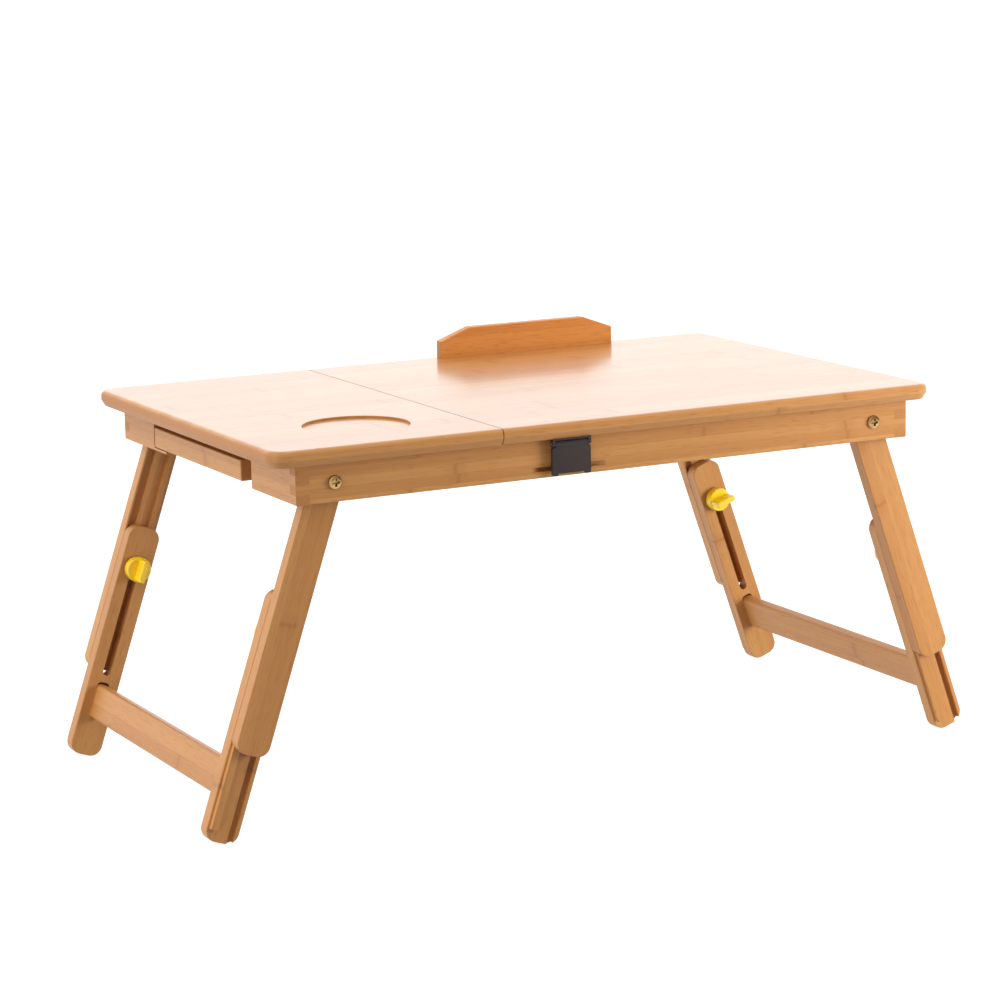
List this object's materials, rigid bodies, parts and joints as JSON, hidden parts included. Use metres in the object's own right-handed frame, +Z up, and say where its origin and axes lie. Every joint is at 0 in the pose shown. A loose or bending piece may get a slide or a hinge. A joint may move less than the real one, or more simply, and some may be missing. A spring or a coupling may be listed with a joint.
{
  "type": "folding laptop table",
  "caption": "Low folding bamboo table with splayed extending legs, a tilting panel with stop bar, a cup recess and a small end drawer.",
  "frame": {"origin": "on the floor, under the middle of the table", "axes": "+X along the long side away from the drawer, +Y towards the person sitting at it, +Z up"},
  "size_m": [0.6454, 0.35, 0.3073],
  "materials": {
    "bamboo": "clear satin lacquer",
    "knob_yellow": "moulded",
    "latch_black": "moulded",
    "steel": "plated"
  },
  "bodies": {
    "frame": {"fixed_top": "bamboo", "latch_apron": "bamboo", "user_apron": "bamboo", "left_latch_block": "bamboo", "left_user_block": "bamboo", "right_end_rail": "bamboo", "seam_divider": "bamboo", "left_notched_slat": "bamboo", "right_notched_slat": "bamboo", "latch_side_runner": "bamboo", "user_side_runner": "bamboo", "hinge_frame_leaves": "steel", "hinge_pins": "steel", "frame_hinge_screws": "steel", "runner_screws": "steel", "divider_screws": "steel", "leg_bolts": "steel", "leg_washers": "steel", "leg_nuts": "steel"},
    "tilt_panel": {"tilt_panel": "bamboo", "stop_bar": "bamboo", "stop_bar_screws": "steel", "hinge_panel_leaves": "steel", "panel_hinge_screws": "steel", "latch_base": "latch_black", "latch_pin": "steel", "latch_screws": "steel", "prop_brackets": "bamboo", "prop_bracket_screws": "steel", "prop_pivot_rod": "steel"},
    "latch": {"latch_plate": "latch_black"},
    "prop": {"prop_left_arm": "bamboo", "prop_right_arm": "bamboo", "prop_foot_bar": "steel"},
    "drawer": {"drawer_front": "bamboo", "drawer_latch_side": "bamboo", "drawer_user_side": "bamboo", "drawer_back": "bamboo", "drawer_bottom": "bamboo"},
    "left_upper_legs": {"left_upper_leg_latch_side": "bamboo", "left_upper_leg_user_side": "bamboo", "left_clamp_studs": "steel", "left_clamp_washers": "steel"},
    "left_lower_legs": {"left_lower_leg_latch_side": "bamboo", "left_lower_leg_user_side": "bamboo", "left_cross_bar": "bamboo"},
    "left_knob_latch_side": {"left_knob_latch_side": "knob_yellow"},
    "left_knob_user_side": {"left_knob_user_side": "knob_yellow"},
    "right_upper_legs": {"right_upper_leg_latch_side": "bamboo", "right_upper_leg_user_side": "bamboo", "right_clamp_studs": "steel", "right_clamp_washers": "steel"},
    "right_lower_legs": {"right_lower_leg_latch_side": "bamboo", "right_lower_leg_user_side": "bamboo", "right_cross_bar": "bamboo"},
    "right_knob_latch_side": {"right_knob_latch_side": "knob_yellow"},
    "right_knob_user_side": {"right_knob_user_side": "knob_yellow"}
  },
  "joints": [
    {"name": "panel_tilt", "type": "hinge", "parent": "frame", "child": "tilt_panel", "pos_m": [0.09, 0.1697, 0.27148], "axis": [-1, 0, 0], "range_deg": [0, 31.9]},
    {"name": "prop_swing", "type": "hinge", "parent": "tilt_panel", "child": "prop", "pos_m": [0.09, -0.0303, 0.26633], "axis": [-1, 0, 0], "range_deg": [0, 27.1]},
    {"name": "latch_flip", "type": "hinge", "parent": "tilt_panel", "child": "latch", "pos_m": [-0.039, -0.17155, 0.26773], "axis": [-1, 0, 0], "range_deg": [-6, 35]},
    {"name": "drawer_slide", "type": "slide", "parent": "frame", "child": "drawer", "axis": [-1, 0, 0], "range_m": [0, 0.1]},
    {"name": "left_fold", "type": "hinge", "parent": "frame", "child": "left_upper_legs", "pos_m": [-0.225, 0, 0.25708], "axis": [0, -1, 0], "range_deg": [0, 109]},
    {"name": "left_extend", "type": "slide", "parent": "left_upper_legs", "child": "left_lower_legs", "axis": [0.3256, 0, 0.9455], "range_m": [-0.004, 0.08]},
    {"name": "left_knob_latch_side_turn", "type": "hinge", "parent": "left_upper_legs", "child": "left_knob_latch_side", "pos_m": [-0.26342, -0.1321, 0.14551], "axis": [0, 1, 0], "range_deg": [0, 180]},
    {"name": "left_knob_user_side_turn", "type": "hinge", "parent": "left_upper_legs", "child": "left_knob_user_side", "pos_m": [-0.26342, 0.1321, 0.14551], "axis": [0, -1, 0], "range_deg": [0, 180]},
    {"name": "right_fold", "type": "hinge", "parent": "frame", "child": "right_upper_legs", "pos_m": [0.225, 0, 0.25708], "axis": [0, 1, 0], "range_deg": [0, 109]},
    {"name": "right_extend", "type": "slide", "parent": "right_upper_legs", "child": "right_lower_legs", "axis": [-0.3256, 0, 0.9455], "range_m": [-0.004, 0.08]},
    {"name": "right_knob_latch_side_turn", "type": "hinge", "parent": "right_upper_legs", "child": "right_knob_latch_side", "pos_m": [0.26342, -0.1321, 0.14551], "axis": [0, 1, 0], "range_deg": [0, 180]},
    {"name": "right_knob_user_side_turn", "type": "hinge", "parent": "right_upper_legs", "child": "right_knob_user_side", "pos_m": [0.26342, 0.1321, 0.14551], "axis": [0, -1, 0], "range_deg": [0, 180]}
  ]
}
